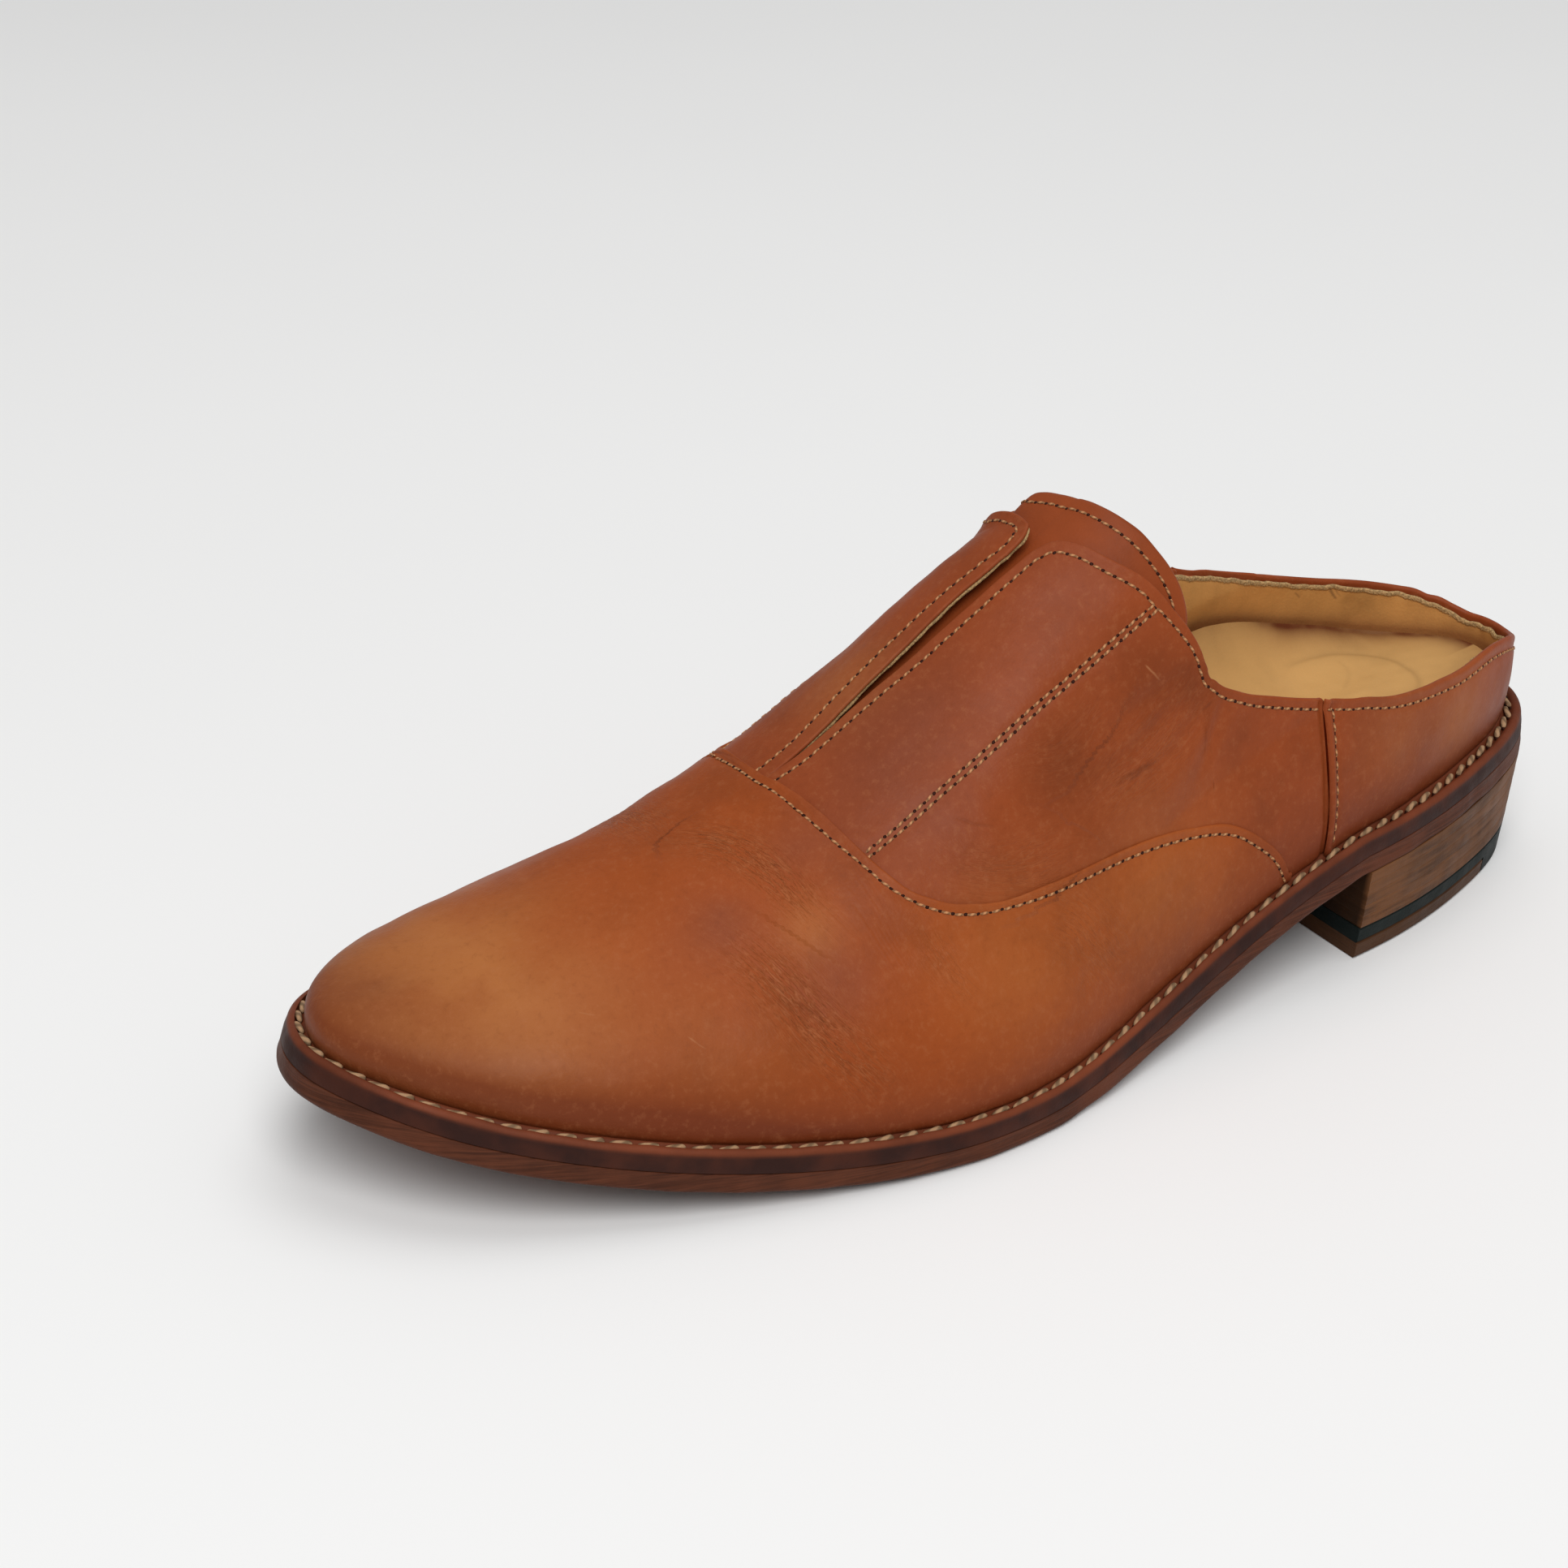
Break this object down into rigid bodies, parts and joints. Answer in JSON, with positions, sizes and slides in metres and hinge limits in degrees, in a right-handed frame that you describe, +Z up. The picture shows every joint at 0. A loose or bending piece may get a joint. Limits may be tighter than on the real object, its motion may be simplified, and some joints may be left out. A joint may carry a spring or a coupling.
{
  "type": "leather mule shoe",
  "caption": "Backless leather slip-on shoe for the left foot, with an instep slit and tongue, a low open back, a stitched welt and a stacked leather heel.",
  "frame": {"origin": "centre of the shoe's outline on the floor it stands on", "axes": "+Z up, +Y from toe to heel, +X to the outer side of the left foot"},
  "size_m": [0.0981, 0.2898, 0.1017],
  "materials": {
    "upper_leather": "tan brown smooth leather, burnished, with cream lining inside",
    "tongue_leather": "red-brown smooth leather",
    "lining_leather": "natural undyed vegetable-tanned leather",
    "welt_leather": "red-brown dressed edge",
    "sole_leather": "waxed brown edge",
    "heel_leather": "stacked layers, waxed",
    "heel_rubber": "matte"
  },
  "bodies": {
    "root": {"outsole": "sole_leather", "welt": "welt_leather", "heel_stack": "heel_leather", "heel_rubber": "heel_rubber", "top_lift": "heel_leather", "insole": "lining_leather", "upper": "upper_leather", "tongue": "tongue_leather"}
  },
  "joints": []
}
